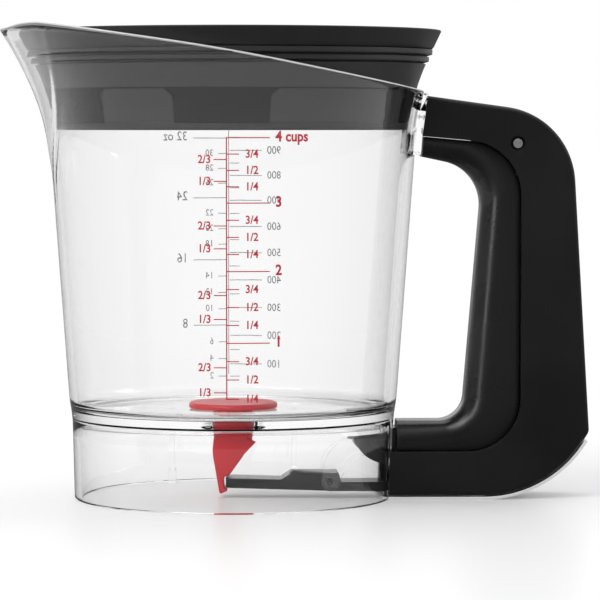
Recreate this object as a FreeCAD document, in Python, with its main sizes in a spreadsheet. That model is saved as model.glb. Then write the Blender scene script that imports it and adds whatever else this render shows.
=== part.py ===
import FreeCAD, Part
import os
import re

import Sketcher

Vector = FreeCAD.Vector
doc = FreeCAD.newDocument("fat_separator")

# Driving dimensions, in millimetres and degrees.
# The jug's axis is Z, the table is z = 0, the spout points to -X and the handle to +X.
DIMENSIONS = {
    # Clear jug
    "base_radius": 54.7,
    "skirt_radius": 55.4,
    "shoulder_radius": 56.4,
    "shoulder_z": 34.0,
    "wall": 2.4,
    "under_floor_z": 28.0,
    "floor_z": 30.8,
    "floor_radius": 53.55,
    "floor_round": 4.0,
    "neck_radius": 64.0,
    "neck_z": 138.3,
    "neck_round": 75.0,
    "mouth_radius": 76.8,
    "mouth_z": 165.0,
    "drain_radius": 7.6,
    # Slanted rim
    "rim_tip_z": 158.9,
    "rim_crest_x": -69.0,
    "rim_crest_z": 163.2,
    "rim_crest_round": 40.0,
    "rim_middle_x": -2.0,
    "rim_middle_z": 153.2,
    "rim_middle_round": 900.0,
    "rim_end_z": 137.2,
    # Pouring spout: three level sections, each a wedge with a round point
    "spout_low_z": 119.0,
    "spout_low_point": 62.9,
    "spout_low_back": 59.6,
    "spout_low_half": 15.0,
    "spout_mid_z": 141.0,
    "spout_mid_point": 70.6,
    "spout_mid_back": 59.2,
    "spout_mid_half": 27.0,
    "spout_top_z": 165.0,
    "spout_top_point": 84.8,
    "spout_top_back": 63.4,
    "spout_top_half": 41.2,
    "spout_round": 16.0,
    # Opening in the skirt and the brackets of the rocker
    "slot_half": 8.0,
    "slot_top_z": 26.0,
    "slot_round": 4.0,
    "bracket_inner": 8.4,
    "bracket_thickness": 2.0,
    "post_x": 21.0,
    "post_half": 0.8,
    "post_foot_half": 1.3,
    "post_width": 10.0,
    "post_foot_z": 5.2,
    "post_step_z": 9.4,
    "post_right_z": 10.4,
    # Handle outline
    "handle_half": 13.0,
    "plate": 2.0,
    "edge_wall": 2.2,
    "handle_top_left_x": 66.5,
    "handle_top_left_z": 138.2,
    "handle_top_right_x": 115.7,
    "handle_top_right_z": 131.4,
    "handle_top_round": 27.0,
    "handle_heel_x": 122.1,
    "handle_heel_z": 23.2,
    "handle_heel_round": 3.0,
    "handle_low_right_x": 108.3,
    "handle_low_round": 40.0,
    "handle_low_left_x": 52.5,
    "sole": 1.1,
    "keel": 2.8,
    "shell_edge_round": 1.8,
    # Seam between the shells and the trigger
    "seam_left_x": 64.6,
    "seam_left_z": 124.4,
    "seam_top_x": 98.4,
    "seam_top_z": 121.4,
    "seam_top_round": 19.0,
    "seam_low_z": 16.4,
    "seam_low_round": 18.0,
    # Opening for the fingers
    "grip_left_x": 64.4,
    "grip_left_z": 117.4,
    "grip_top_x": 86.1,
    "grip_top_z": 112.8,
    "grip_top_round": 15.0,
    "grip_low_x": 78.8,
    "grip_low_z": 26.6,
    "grip_low_round": 9.0,
    "trigger_end_x": 56.0,
    "trigger_gap": 0.5,
    "trigger_half": 10.5,
    "grip_edge_round": 5.5,
    "spine": 3.4,
    # Trigger toe and drive finger
    "toe_x": 41.0,
    "toe_top_z": 24.2,
    "toe_low_z": 11.8,
    "toe_round": 12.0,
    "toe_half": 6.0,
    "finger_x": 63.0,
    "finger_half": 2.5,
    "finger_low_z": 6.25,
    "finger_width": 10.0,
    # Pivot of the trigger
    "pivot_x": 97.2,
    "pivot_z": 122.0,
    "pivot_radius": 1.6,
    "pivot_gap": 0.06,
    "pivot_half": 12.5,
    "pivot_recess_radius": 2.5,
    "pivot_recess": 0.8,
    "ear_radius": 4.9,
    "ear_half": 4.5,
    # Rocker: thin tip, raised hub on the axle, driven end under the trigger's finger
    "axle_x": 33.0,
    "axle_z": 6.2,
    "axle_radius": 1.25,
    "axle_gap": 0.07,
    "rocker_half": 6.5,
    "rocker_tip_x": -2.6,
    "rocker_tip_low_z": 3.7,
    "rocker_tip_top_z": 7.0,
    "rocker_hub_left_x": 20.0,
    "rocker_hub_right_x": 36.2,
    "rocker_hub_low_z": 2.5,
    "rocker_hub_top_z": 8.8,
    "rocker_beam_top_z": 5.6,
    "rocker_end_x": 75.0,
    "rocker_end_low_z": 3.95,
    "rocker_end_top_z": 6.2,
    # Stopper: disc on the floor, plug in the drain, tail with a hook round the rocker's tip
    "disc_radius": 15.3,
    "disc_low_z": 31.0,
    "disc_top_z": 33.0,
    "disc_dome": 0.4,
    "plug_radius": 7.2,
    "plug_low_z": 26.5,
    "waist_low_z": 23.9,
    "tail_half": 5.4,
    "tail_back_x": -6.6,
    "tail_belly_x": -7.2,
    "tail_belly_z": 15.5,
    "tail_tip_x": -4.7,
    "tail_tip_z": 1.2,
    "hook_x": -3.1,
    "hook_low_z": 3.2,
    "hook_top_z": 7.5,
    "tail_lip_x": 7.9,
    "tail_lip_z": 22.6,
    # Lift-out strainer
    "strainer_gap": 0.4,
    "strainer_wall": 2.2,
    "strainer_low_z": 127.0,
    "panel_depth": 0.9,
    "screen_z": 140.2,
    "screen_thickness": 2.0,
    "screen_radius": 52.0,
    "ledge_radius": 50.0,
    "hole_radius": 1.1,
    "hole_pitch": 6.4,
    "low_groove_z": 149.0,
    "high_groove_z": 151.4,
    "groove_height": 0.2,
    "groove_depth": 0.8,
    "rim_grip_z": 154.0,
    "rim_grip_top_z": 160.6,
    "seal_low_z": 124.6,
    "seal_width": 3.0,
    # Return spring round the pivot
    "spring_radius": 3.2,
    "spring_wire": 0.45,
    "spring_pitch": 1.25,
    "spring_leg": 6.5,
    "spring_short_leg": 5.5,
}

# Rings of holes round the middle one in the strainer's screen, six more in each
HOLE_RINGS = 7

# Close turns of the return spring
SPRING_TURNS = 4

# Raised pads round the strainer's skirt: first and last angle in degrees, from the front (-Y)
# towards the handle (+X); the skirt is drawn in between them
SKIRT_PADS = [(-18, 11), (66, 114), (169, 198), (224.5, 315.5)]

sheet = doc.addObject("Spreadsheet::Sheet", "dim")
for row, (alias, size) in enumerate(DIMENSIONS.items(), 1):
    sheet.set(f"A{row}", alias)
    sheet.set(f"B{row}", str(size))
    sheet.setAlias(f"B{row}", alias)
doc.recompute()


def bound(expression):
    """Write an expression of sheet names the way a binding needs it."""
    return re.sub(r"\b([a-z]\w*)\b(?!\()", r"dim.\1", str(expression))


def value(expression):
    """Number that an expression of sheet names gives now."""
    return float(sheet.evalExpression(bound(expression)))


def new_body(name):
    body = doc.addObject("PartDesign::Body", name)
    body.Label = name
    return body


def plane_sketch(body, name, role, offset=None, turn=0.0):
    """Sketch on an origin plane of its body, moved along the plane's normal or turned about Z."""
    sketch = body.newObject("Sketcher::SketchObject", name)
    plane = [item for item in body.Origin.OriginFeatures if item.Role == role][0]
    sketch.AttachmentSupport = [(plane, "")]
    sketch.MapMode = "FlatFace"
    if turn:
        sketch.AttachmentOffset = FreeCAD.Placement(Vector(), FreeCAD.Rotation(Vector(0, 1, 0), turn))
    if offset is not None:
        sketch.setExpression(".AttachmentOffset.Base.z", bound(offset))
    return sketch


def hold_point(sketch, geometry, point, x, y):
    """Tie a point's place to the origin by two bound distances."""
    for kind, expression in (("DistanceX", x), ("DistanceY", y)):
        size = value(expression)
        index = sketch.addConstraint(Sketcher.Constraint(kind, -1, 1, geometry, point, size))
        sketch.setExpression(f"Constraints[{index}]", bound(expression))


def draw_outline(sketch, corners):
    """Closed outline of straight runs; a corner's third entry is the radius of its round."""
    places = [Vector(value(corner[0]), value(corner[1]), 0) for corner in corners]
    count = len(places)
    first = sketch.GeometryCount
    for index in range(count):
        line = Part.LineSegment(places[index], places[(index + 1) % count])
        sketch.addGeometry(line, False)
    for index in range(count):
        following = first + (index + 1) % count
        sketch.addConstraint(Sketcher.Constraint("Coincident", first + index, 2, following, 1))
    for index, corner in enumerate(corners):
        hold_point(sketch, first + index, 1, corner[0], corner[1])
    for index, corner in enumerate(corners):
        if len(corner) > 2:
            before = (index - 1) % count
            towards_last = places[index] + (places[before] - places[index]) * 0.1
            towards_next = places[index] + (places[(index + 1) % count] - places[index]) * 0.1
            radius = value(corner[2])
            sketch.fillet(first + before, first + index, towards_last, towards_next, radius, True, True)
            arc = sketch.GeometryCount - 2
            rule = sketch.addConstraint(Sketcher.Constraint("Radius", arc, radius))
            sketch.setExpression(f"Constraints[{rule}]", bound(corner[2]))


def draw_circle(sketch, x, y, radius):
    place = Vector(value(x), value(y), 0)
    circle = sketch.addGeometry(Part.Circle(place, Vector(0, 0, 1), value(radius)), False)
    hold_point(sketch, circle, 3, x, y)
    rule = sketch.addConstraint(Sketcher.Constraint("Radius", circle, value(radius)))
    sketch.setExpression(f"Constraints[{rule}]", bound(radius))


def extrude(body, kind, name, sketch, length, both=False, backwards=False):
    """Pad or Pocket of a sketch, by its length; both means half to each side."""
    feature = body.newObject("PartDesign::" + kind, name)
    feature.Profile = sketch
    feature.SideType = "Symmetric" if both else "One side"
    feature.Reversed = backwards
    feature.setExpression("Length", bound(length))
    return feature


def turn_round(body, kind, name, sketch, angle=360.0):
    """Revolution or Groove of a sketch about the sketch's own upright axis, which is Z."""
    feature = body.newObject("PartDesign::" + kind, name)
    feature.Profile = sketch
    feature.ReferenceAxis = (sketch, ["V_Axis"])
    feature.Angle = angle
    return feature


def outline_extrusion(body, kind, name, corners, length, offset=None, both=True, backwards=False):
    """Side outline in the XZ plane, extruded along Y."""
    sketch = plane_sketch(body, name + "_outline", "XZ_Plane", offset)
    draw_outline(sketch, corners)
    return extrude(body, kind, name, sketch, length, both, backwards)


def outline_turned(body, kind, name, corners, angle=360.0, turn=0.0):
    """Profile in a plane through Z, turned about Z."""
    sketch = plane_sketch(body, name + "_profile", "XZ_Plane", turn=turn)
    draw_outline(sketch, corners)
    return turn_round(body, kind, name, sketch, angle)


def bore_along_y(body, name, x, z, radius, length):
    sketch = plane_sketch(body, name + "_circle", "XZ_Plane")
    draw_circle(sketch, x, z, radius)
    return extrude(body, "Pocket", name, sketch, length, both=True)


def jug_outside(inset, top="mouth_z"):
    """Right half of the jug's outer outline, drawn in by an inset."""
    return [
        ("0", "0"),
        (f"base_radius - {inset}", "0"),
        (f"skirt_radius - {inset}", "under_floor_z", "40"),
        (f"shoulder_radius - {inset}", "shoulder_z", "40"),
        (f"neck_radius - {inset}", "neck_z", f"neck_round + {inset}"),
        (f"mouth_radius - {inset}", top),
        ("0", top),
    ]


def spout_loft(body, kind, name, inset, narrower):
    """Pouring spout through three level wedges with round points."""
    sections = []
    for level in ("low", "mid", "top"):
        sketch = plane_sketch(body, f"{name}_{level}", "XY_Plane", f"spout_{level}_z")
        back = f"-spout_{level}_back + {inset}"
        half = f"spout_{level}_half - {narrower}"
        draw_outline(sketch, [
            (f"-spout_{level}_point + {inset}", "0", "spout_round"),
            (back, f"-({half})"),
            (back, half),
        ])
        sections.append(sketch)
    loft = body.newObject("PartDesign::" + kind, name)
    loft.Profile = sections[0]
    loft.Sections = sections[1:]
    return loft


def sketch_axis(body, role):
    """Origin axis of a body, found by its role."""
    return [item for item in body.Origin.OriginFeatures if item.Role == role][0]


def mirrored_in_y(body, name, feature):
    mirror = body.newObject("PartDesign::Mirrored", name)
    mirror.Originals = [feature]
    plane = [item for item in body.Origin.OriginFeatures if item.Role == "XZ_Plane"][0]
    mirror.MirrorPlane = (plane, [""])
    body.Tip = mirror
    return mirror


def round_edges(body, name, edges, radius):
    last = body.Tip
    rounding = body.newObject("PartDesign::Fillet", name)
    rounding.Base = (last, edges)
    rounding.setExpression("Radius", bound(radius))
    return rounding


def make_jug_body():
    """Clear jug: flared cup with a spout, a floor with the drain, and a hollow skirt below it."""
    body = new_body("jug_body")
    outline_turned(body, "Revolution", "outside", jug_outside("0"))
    spout_loft(body, "AdditiveLoft", "spout", "0", "0")
    outline_turned(body, "Groove", "cup", [
        ("0", "floor_z"),
        ("floor_radius", "floor_z", "floor_round"),
        ("neck_radius - wall - 0.1", "neck_z", "neck_round + wall"),
        ("mouth_radius - wall + 0.5", "mouth_z + 1"),
        ("0", "mouth_z + 1"),
    ])
    spout_loft(body, "SubtractiveLoft", "spout_inside", "wall + 0.1", "wall / 2")
    outline_extrusion(body, "Pocket", "slanted_rim", [
        ("-95", "rim_tip_z - 1"),
        ("rim_crest_x", "rim_crest_z", "rim_crest_round"),
        ("rim_middle_x", "rim_middle_z", "rim_middle_round"),
        ("80", "rim_end_z"),
        ("80", "mouth_z + 5"),
        ("-95", "mouth_z + 5"),
    ], "200")
    outline_turned(body, "Groove", "hollow_skirt", [
        ("0", "-1"),
        ("base_radius - wall", "-1"),
        ("skirt_radius - wall", "under_floor_z", "2"),
        ("0", "under_floor_z"),
    ])
    outline_turned(body, "Groove", "drain", [
        ("0", "under_floor_z - 1"),
        ("drain_radius", "under_floor_z - 1"),
        ("drain_radius", "floor_z + 1"),
        ("0", "floor_z + 1"),
    ])
    slot = plane_sketch(body, "slot_outline", "YZ_Plane")
    draw_outline(slot, [
        ("-slot_half", "-1"),
        ("slot_half", "-1"),
        ("slot_half", "slot_top_z", "slot_round"),
        ("-slot_half", "slot_top_z", "slot_round"),
    ])
    extrude(body, "Pocket", "skirt_slot", slot, "70", backwards=True)
    for name, side, low in (("left_post", "-1", "post_step_z"), ("right_post", "1", "post_right_z")):
        outline_extrusion(body, "Pad", name, [
            (f"{side} * post_x - post_half", low),
            (f"{side} * post_x + post_half", low),
            (f"{side} * post_x + post_half", "under_floor_z + 0.5"),
            (f"{side} * post_x - post_half", "under_floor_z + 0.5"),
        ], "post_width")
    outline_extrusion(body, "Pad", "post_foot", [
        ("-post_x - post_foot_half", "post_foot_z"),
        ("-post_x + post_foot_half", "post_foot_z"),
        ("-post_x + post_foot_half", "post_step_z"),
        ("-post_x - post_foot_half", "post_step_z"),
    ], "post_width")
    bracket = outline_extrusion(body, "Pad", "rocker_bracket", [
        ("axle_x - 3.2", "axle_z - 3.3", "3"),
        ("axle_x + 3.2", "axle_z - 3.3", "3"),
        ("axle_x + 4.5", "axle_z + 6", "12"),
        ("base_radius - 1.5", "axle_z + 13"),
        ("base_radius - 1.5", "under_floor_z + 0.4"),
        ("axle_x + 8.5", "under_floor_z + 0.4"),
        ("axle_x - 2", "axle_z + 8", "20"),
    ], "bracket_thickness", offset="bracket_inner", both=False)
    mirrored_in_y(body, "other_bracket", bracket)
    bore_along_y(body, "axle_bores", "axle_x", "axle_z", "axle_radius + 0.02", "60")
    return body


def handle_outline_left():
    """Shell outline, clockwise from the top left corner down to the lower left one."""
    return [
        ("handle_top_left_x", "handle_top_left_z"),
        ("handle_top_right_x", "handle_top_right_z", "handle_top_round"),
        ("handle_heel_x", "handle_heel_z", "handle_heel_round"),
        ("handle_low_right_x", "sole", "handle_low_round"),
        ("handle_low_left_x", "sole"),
    ]


def seam_outline(left_low_x, offset="0", left_gap="0"):
    """Seam line from the lower left end up to the upper left end, moved outwards by an offset."""
    return [
        (left_low_x, f"seam_low_z - {offset}"),
        (f"seam_top_x + {offset}", f"seam_low_z - {offset}", f"seam_low_round + {offset}"),
        (f"seam_top_x + {offset}", f"seam_top_z + {offset}", f"seam_top_round + {offset}"),
        (f"seam_left_x + {left_gap} + 0.14 * {offset}", f"seam_left_z + {offset}"),
    ]


def cut_to_jug(body, gap):
    """Trim what would reach into the jug's outer surface."""
    outline_turned(body, "Groove", "seat_on_jug", jug_outside(f"-{gap}"))


def make_handle_frame():
    """Clear frame of the handle, moulded with the jug: block at the wall, edge strip and sole."""
    body = new_body("handle_frame")
    width = "2 * (handle_half - plate - 0.25)"
    outline_extrusion(body, "Pad", "keel", [
        ("handle_heel_x + 0.93", "handle_heel_z - 0.58"),
        ("handle_low_right_x + 0.6", "0", "handle_low_round + sole"),
        ("handle_low_left_x", "0"),
        ("handle_low_left_x", "keel"),
        ("handle_low_right_x - 0.95", "keel", "handle_low_round - 1.7"),
        ("handle_heel_x - 1.44", "handle_heel_z + 0.9"),
    ], width)
    outline_extrusion(body, "Pad", "sole_flange", [
        ("handle_heel_x + 0.93", "handle_heel_z - 0.58"),
        ("handle_low_right_x + 0.6", "0", "handle_low_round + sole"),
        ("handle_low_left_x", "0"),
        ("handle_low_left_x", "sole"),
        ("handle_low_right_x", "sole", "handle_low_round"),
        ("handle_heel_x", "handle_heel_z"),
    ], "2 * handle_half")
    outline_extrusion(body, "Pocket", "heel_trim", [
        ("handle_low_right_x", "handle_heel_z - 3.2"),
        ("handle_heel_x + 4", "handle_heel_z - 3.2"),
        ("handle_heel_x + 4", "handle_heel_z + 4"),
        ("handle_low_right_x", "handle_heel_z + 4"),
    ], "4 * handle_half")
    outline_extrusion(body, "Pocket", "rocker_window", [
        ("handle_low_left_x - 2", "-1"),
        ("rocker_end_x + 5", "-1"),
        ("rocker_end_x + 5", "keel + 1"),
        ("handle_low_left_x - 2", "keel + 1"),
    ], "2 * slot_half")
    outline_extrusion(body, "Pad", "strip", [
        ("handle_top_left_x - 2", "handle_top_left_z - edge_wall - 0.4"),
        ("handle_top_right_x - 2.4", "handle_top_right_z - edge_wall - 0.2", "handle_top_round - 2.4"),
        ("handle_heel_x - 2.4", "handle_heel_z + 1", "1"),
        ("handle_heel_x - 3.1", "handle_heel_z - 5.2"),
        ("handle_heel_x - 5.5", "handle_heel_z - 9.2"),
        ("handle_heel_x - 4.9", "handle_heel_z + 1", "1"),
        ("handle_top_right_x - 4.9", "handle_top_right_z - edge_wall - 2.7", "handle_top_round - 4.9"),
        ("handle_top_left_x - 2.4", "handle_top_left_z - edge_wall - 2.9"),
    ], width)
    outline_extrusion(body, "Pad", "wall_block", [
        ("neck_radius - 5", "seam_left_z - 6.4"),
        ("seam_left_x - 0.5", "seam_left_z - 6.4", "0.6"),
        ("seam_left_x", "seam_left_z"),
        ("handle_top_left_x", "handle_top_left_z"),
        ("handle_top_left_x", "rim_end_z + 2", "0.8"),
        ("neck_radius - 5", "rim_end_z + 2"),
    ], "2 * handle_half - 2")
    cut_to_jug(body, "0")
    return body


def make_handle_shell(name, backwards):
    """One half of the black handle cover: a side plate with an edge wall round the outside."""
    body = new_body(name)
    outside = handle_outline_left() + seam_outline("handle_low_left_x")
    outline_extrusion(body, "Pad", "side", outside, "handle_half", both=False, backwards=backwards)
    inner = "edge_wall"
    cavity = [
        ("handle_top_left_x - 6", f"handle_top_left_z - {inner} + 0.83"),
        (f"handle_top_right_x - {inner}", f"handle_top_right_z - {inner}", "handle_top_round - 2.2"),
        (f"handle_heel_x - {inner}", "handle_heel_z", "1"),
        ("handle_heel_x + 3", "handle_heel_z - 4.8"),
        ("handle_heel_x + 3", "-2"),
        ("handle_low_left_x - 6", "-2"),
    ]
    depth = "handle_half - plate"
    outline_extrusion(body, "Pocket", "hollow", cavity, depth, both=False, backwards=not backwards)
    cut_to_jug(body, "0.1")
    doc.recompute()
    solid = body.Shape
    face_y = value("handle_half") * (1 if backwards else -1)
    edges = []
    for index, edge in enumerate(solid.Edges, 1):
        middle = edge.valueAt((edge.FirstParameter + edge.LastParameter) / 2)
        ends = [vertex.Point.y for vertex in edge.Vertexes] + [middle.y]
        flat = max(abs(y - face_y) for y in ends) < 0.01
        outer = middle.x > value("seam_top_x") + 2 or middle.z > value("handle_top_right_z")
        below = middle.z < value("sole") + 0.01
        if flat and (outer or below) and edge.Length > 0.5:
            edges.append(f"Edge{index}")
    round_edges(body, "outer_edge", edges, "shell_edge_round")
    bore_along_y(body, "pin_bore", "pivot_x", "pivot_z", "pivot_radius + 0.02", "60")
    face = "-handle_half" if backwards else "handle_half"
    recess = plane_sketch(body, "pin_recess_circle", "XZ_Plane", face)
    draw_circle(recess, "pivot_x", "pivot_z", "pivot_recess_radius")
    extrude(body, "Pocket", "pin_recess", recess, "pivot_recess", backwards=backwards)
    return body


def make_trigger_core():
    """Hard spine of the trigger: curved strip, pivot ear, drive finger and toe."""
    body = new_body("trigger_core")
    outer = seam_outline("trigger_end_x", "spine", "trigger_gap")
    inner = seam_outline("trigger_end_x", left_gap="trigger_gap")
    outline_extrusion(body, "Pad", "strip", outer + inner[::-1], "2 * trigger_half")
    bore_along_y(body, "spring_room", "pivot_x", "pivot_z", "spring_radius + 1.2", "60")
    ear = plane_sketch(body, "ear_circle", "XZ_Plane")
    draw_circle(ear, "pivot_x", "pivot_z", "ear_radius")
    extrude(body, "Pad", "ear", ear, "2 * ear_half", both=True)
    outline_extrusion(body, "Pad", "finger", [
        ("finger_x - finger_half", "seam_low_z - 1"),
        ("finger_x - finger_half", "finger_low_z", "finger_half - 0.1"),
        ("finger_x + finger_half", "finger_low_z", "finger_half - 0.1"),
        ("finger_x + finger_half", "seam_low_z - 1"),
    ], "finger_width")
    outline_extrusion(body, "Pad", "toe", [
        ("trigger_end_x", "toe_top_z"),
        ("toe_x", "toe_top_z", "0.8"),
        ("toe_x", "toe_low_z", "toe_round"),
        ("trigger_end_x + 2", "toe_low_z"),
        ("trigger_end_x + 2", "seam_low_z"),
        ("trigger_end_x", "seam_low_z"),
    ], "2 * toe_half")
    bore_along_y(body, "pin_bore", "pivot_x", "pivot_z", "pivot_radius + pivot_gap", "60")
    return body


def make_trigger_grip():
    """Grip of the trigger: the rounded inner side of the handle that the fingers pull."""
    body = new_body("trigger_grip")
    seam = seam_outline("trigger_end_x", left_gap="trigger_gap")
    outline_extrusion(body, "Pad", "grip", [
        ("grip_left_x", "grip_left_z"),
        ("grip_top_x", "grip_top_z", "grip_top_round"),
        ("grip_low_x", "grip_low_z", "grip_low_round"),
        ("trigger_end_x", "grip_low_z"),
    ] + seam, "2 * trigger_half")
    doc.recompute()
    half = value("trigger_half")
    edges = []
    for index, edge in enumerate(body.Shape.Edges, 1):
        middle = edge.valueAt((edge.FirstParameter + edge.LastParameter) / 2)
        ends = [abs(vertex.Point.y) for vertex in edge.Vertexes]
        along = min(ends) > half - 0.01 and abs(middle.y) > half - 0.01
        inside = middle.x < value("grip_top_x") + 1 and value("grip_low_z") - 1 < middle.z
        below = middle.z < value("grip_left_z") + 0.5
        if along and inside and below and edge.Length > 2:
            edges.append(f"Edge{index}")
    round_edges(body, "grip_edges", edges, "grip_edge_round")
    return body


def make_rocker():
    """Black rocker under the floor: thin lifting arm, raised hub and driven end."""
    body = new_body("rocker_arm")
    outline_extrusion(body, "Pad", "arm", [
        ("rocker_tip_x", "rocker_tip_low_z", "1"),
        ("rocker_hub_left_x - 3", "rocker_tip_low_z - 0.6"),
        ("rocker_hub_right_x - 0.2", "rocker_hub_low_z"),
        ("rocker_end_x - 21.5", "rocker_hub_low_z - 0.2"),
        ("rocker_end_x", "rocker_end_low_z", "0.8"),
        ("rocker_end_x", "rocker_end_top_z", "0.8"),
        ("rocker_end_x - 17", "rocker_beam_top_z + 0.05"),
        ("rocker_hub_right_x + 0.8", "rocker_beam_top_z"),
        ("rocker_hub_right_x", "rocker_hub_top_z", "0.8"),
        ("rocker_hub_left_x", "rocker_hub_top_z", "1.5"),
        ("rocker_hub_left_x - 3.5", "rocker_tip_top_z - 0.5"),
        ("rocker_tip_x", "rocker_tip_top_z", "1"),
    ], "2 * rocker_half")
    bore_along_y(body, "axle_bore", "axle_x", "axle_z", "axle_radius + axle_gap", "40")
    return body


def make_stopper():
    """Red silicone stopper: sealing disc, plug in the drain and hooked tail round the rocker tip."""
    body = new_body("stopper")
    outline_turned(body, "Revolution", "disc_and_plug", [
        ("0", "plug_low_z"),
        ("plug_radius - 0.6", "plug_low_z"),
        ("plug_radius", "under_floor_z"),
        ("plug_radius", "disc_low_z"),
        ("disc_radius", "disc_low_z", "0.6"),
        ("disc_radius", "disc_top_z", "1.2"),
        ("0", "disc_top_z + disc_dome"),
    ])
    outline_extrusion(body, "Pad", "tail", [
        ("tail_back_x", "plug_low_z + 1"),
        ("tail_belly_x", "tail_belly_z", "20"),
        ("tail_tip_x - 0.9", "hook_top_z - 1", "12"),
        ("tail_tip_x", "tail_tip_z", "0.5"),
        ("hook_x + 2.6", "hook_low_z", "0.4"),
        ("hook_x", "hook_low_z", "0.4"),
        ("hook_x", "hook_top_z", "0.4"),
        ("hook_x + 1.5", "hook_top_z", "0.4"),
        ("tail_lip_x - 4.5", "tail_lip_z - 8.2", "8"),
        ("tail_lip_x", "tail_lip_z", "0.3"),
        ("-tail_back_x", "tail_lip_z + 0.8", "0.3"),
        ("-tail_back_x", "plug_low_z + 1"),
    ], "2 * tail_half")
    outline_turned(body, "Groove", "waist", [
        ("plug_radius - 0.1", "waist_low_z"),
        ("disc_radius", "waist_low_z"),
        ("disc_radius", "under_floor_z"),
        ("plug_radius - 0.1", "under_floor_z"),
    ])
    return body


def flare(height, inset):
    """Radius of the jug's flared wall above the neck at a height, drawn in by an inset."""
    slope = "(mouth_radius - neck_radius) / (mouth_z - neck_z)"
    return f"neck_radius + {slope} * ({height} - neck_z) - ({inset})"


def cone(height, inset):
    """Radius of the jug's straight wall below the neck at a height, drawn in by an inset."""
    slope = "(neck_radius - shoulder_radius) / (neck_z - shoulder_z)"
    return f"shoulder_radius + {slope} * ({height} - shoulder_z) - ({inset})"


def make_strainer_bowl():
    """Black strainer: flared cup with grip steps outside, and a skirt that centres it in the jug."""
    body = new_body("strainer_bowl")
    outer = "wall + strainer_gap + 0.1"
    inner = "wall + strainer_gap + 0.1 + strainer_wall"
    recessed = "wall + strainer_gap + 0.1 + panel_depth"
    outline_turned(body, "Revolution", "wall", [
        (cone("strainer_low_z", recessed), "strainer_low_z"),
        (cone("screen_z", recessed), "screen_z", "4"),
        (flare("screen_z + 3", outer), "screen_z + 3"),
        (flare("low_groove_z", outer), "low_groove_z"),
        (flare("low_groove_z", outer) + " - groove_depth", "low_groove_z + groove_height"),
        (flare("high_groove_z", outer), "high_groove_z"),
        (flare("high_groove_z", outer) + " - groove_depth", "high_groove_z + groove_height"),
        (flare("rim_grip_z", outer), "rim_grip_z"),
        (flare("rim_grip_z", inner), "rim_grip_z"),
        (flare("screen_z", inner) + " + 1.2", "screen_z + 4", "6"),
        ("ledge_radius + 2", "screen_z + screen_thickness"),
        ("ledge_radius + 2", "screen_z"),
        ("ledge_radius", "screen_z"),
        ("ledge_radius", "screen_z - 1.6"),
        (cone("screen_z", inner) + " - 1", "screen_z - 1.6", "1"),
        (cone("strainer_low_z", inner) + " - 0.4", "strainer_low_z"),
    ])
    for index, (start, end) in enumerate(SKIRT_PADS):
        sketch = plane_sketch(body, f"pad_profile_{index}", "XZ_Plane", turn=start - 90)
        draw_outline(sketch, [
            (cone("strainer_low_z", recessed) + " - 0.5", "strainer_low_z"),
            (cone("strainer_low_z", outer), "strainer_low_z"),
            (cone("screen_z", outer) + " + 0.7", "screen_z + 1", "4"),
            (flare("screen_z + 3", outer), "screen_z + 3"),
            (flare("screen_z + 3", outer) + " - 1.2", "screen_z + 3"),
            (cone("screen_z", recessed) + " - 0.5", "screen_z"),
        ])
        pad = turn_round(body, "Revolution", f"skirt_pad_{index}", sketch, end - start)
        pad.Reversed = False
    return body


def make_strainer_screen():
    """Round screen in the strainer's floor, with a triangular grid of holes."""
    body = new_body("strainer_screen")
    outline_turned(body, "Revolution", "disc", [
        ("0", "screen_z"),
        ("screen_radius", "screen_z"),
        ("screen_radius", "screen_z + screen_thickness"),
        ("0", "screen_z + screen_thickness"),
    ])
    for ring in range(HOLE_RINGS + 1):
        name = f"hole_ring_{ring}"
        sketch = plane_sketch(body, name + "_circle", "XY_Plane", "screen_z - 1")
        draw_circle(sketch, f"{ring} * hole_pitch", "0", "hole_radius")
        hole = extrude(body, "Pocket", name, sketch, "screen_thickness + 2", backwards=True)
        if ring:
            pattern = body.newObject("PartDesign::PolarPattern", name + "_round")
            pattern.Originals = [hole]
            pattern.Axis = (sketch_axis(body, "Z_Axis"), [""])
            pattern.Angle = 360
            pattern.Occurrences = 6 * ring
            body.Tip = pattern
    return body


def make_strainer_rim_grip():
    """Soft band round the strainer's rim."""
    body = new_body("strainer_rim_grip")
    outer = "wall + strainer_gap + 0.1"
    inner = "wall + strainer_gap + 0.1 + strainer_wall"
    outline_turned(body, "Revolution", "band", [
        (flare("rim_grip_z", outer) + " - 0.5", "rim_grip_z"),
        (flare("rim_grip_z", outer), "rim_grip_z + 0.4"),
        (flare("rim_grip_top_z", outer), "rim_grip_top_z - 0.8"),
        (flare("rim_grip_top_z", outer) + " - 0.6", "rim_grip_top_z"),
        (flare("rim_grip_top_z", inner) + " + 0.4", "rim_grip_top_z"),
        (flare("rim_grip_z", inner), "rim_grip_z"),
    ])
    return body


def make_strainer_seal():
    """Silicone ring under the strainer's skirt."""
    body = new_body("strainer_seal")
    outer = "wall + strainer_gap + 0.1"
    outline_turned(body, "Revolution", "ring", [
        (cone("seal_low_z", outer) + " - seal_width", "seal_low_z"),
        (cone("seal_low_z", outer) + " - 0.5", "seal_low_z"),
        (cone("strainer_low_z", outer), "seal_low_z + 0.8"),
        (cone("strainer_low_z", outer), "strainer_low_z"),
        (cone("strainer_low_z", outer) + " - seal_width", "strainer_low_z"),
    ])
    return body


def make_pin(name, x, z, radius, half):
    """Plain steel pin along Y."""
    pin = doc.addObject("Part::Cylinder", name)
    pin.Label = name
    pin.setExpression("Radius", bound(radius))
    pin.setExpression("Height", bound(f"2 * {half}"))
    pin.Placement = FreeCAD.Placement(Vector(), FreeCAD.Rotation(Vector(1, 0, 0), 90))
    pin.setExpression(".Placement.Base.x", bound(x))
    pin.setExpression(".Placement.Base.y", bound(half))
    pin.setExpression(".Placement.Base.z", bound(z))
    return pin


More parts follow.
